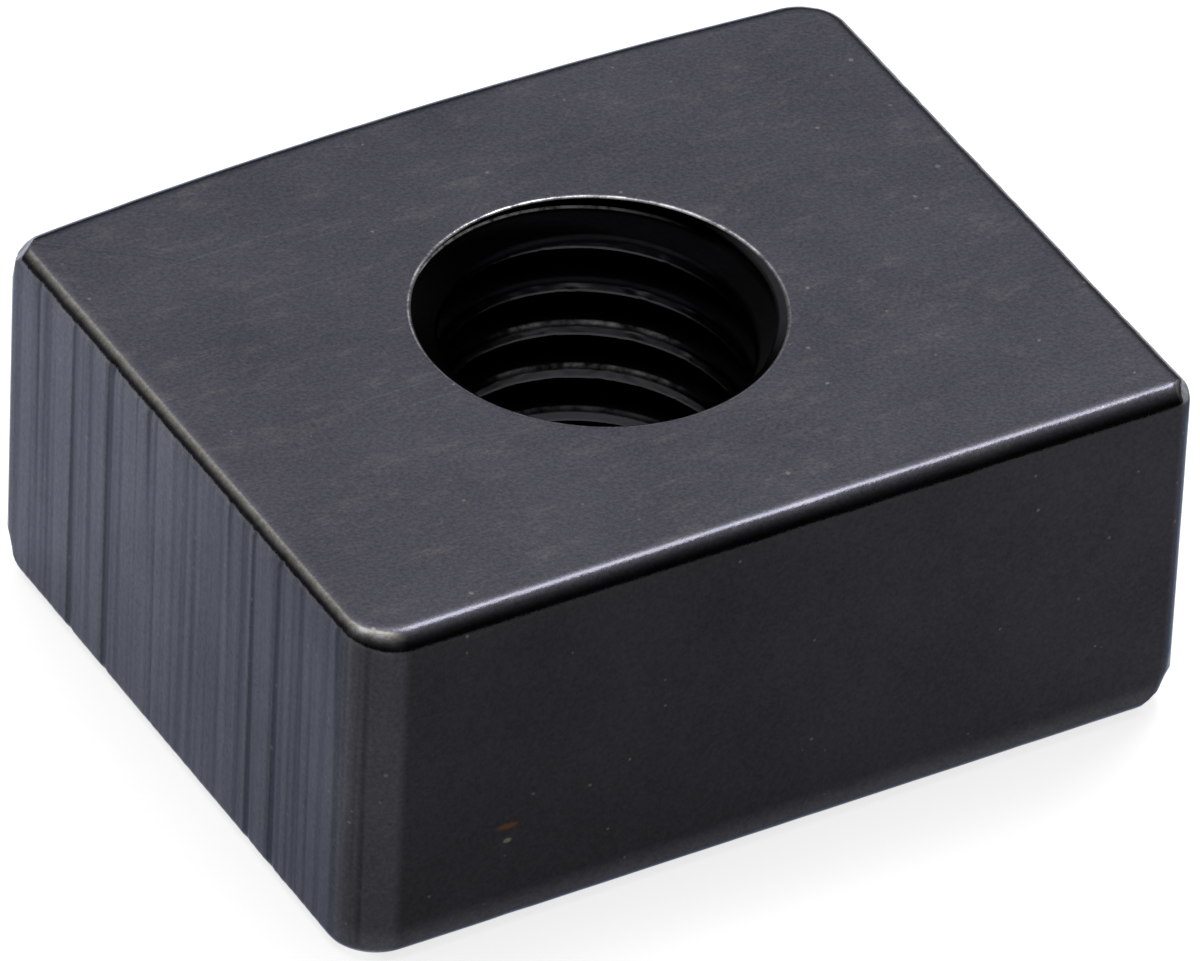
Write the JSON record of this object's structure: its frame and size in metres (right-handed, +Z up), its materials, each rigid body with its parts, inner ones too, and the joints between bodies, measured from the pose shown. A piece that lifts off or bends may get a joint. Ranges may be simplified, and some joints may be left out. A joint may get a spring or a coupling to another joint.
{
  "type": "t-slot nut",
  "caption": "Rectangular steel T-slot nut: a solid block with rounded edges and one tapped hole straight through its height, to take a stud or screw.",
  "frame": {"origin": "on the tapped hole's axis, level with the bottom face", "axes": "+X along the length, +Y across the width to the bowed side, +Z up the hole's axis"},
  "size_m": [0.0302, 0.0247, 0.0129],
  "materials": {
    "blackened_steel": "black oxide on drawn and cut steel, worn bright at the edges"
  },
  "bodies": {
    "root": {"t_slot_nut": "blackened_steel"}
  },
  "joints": []
}
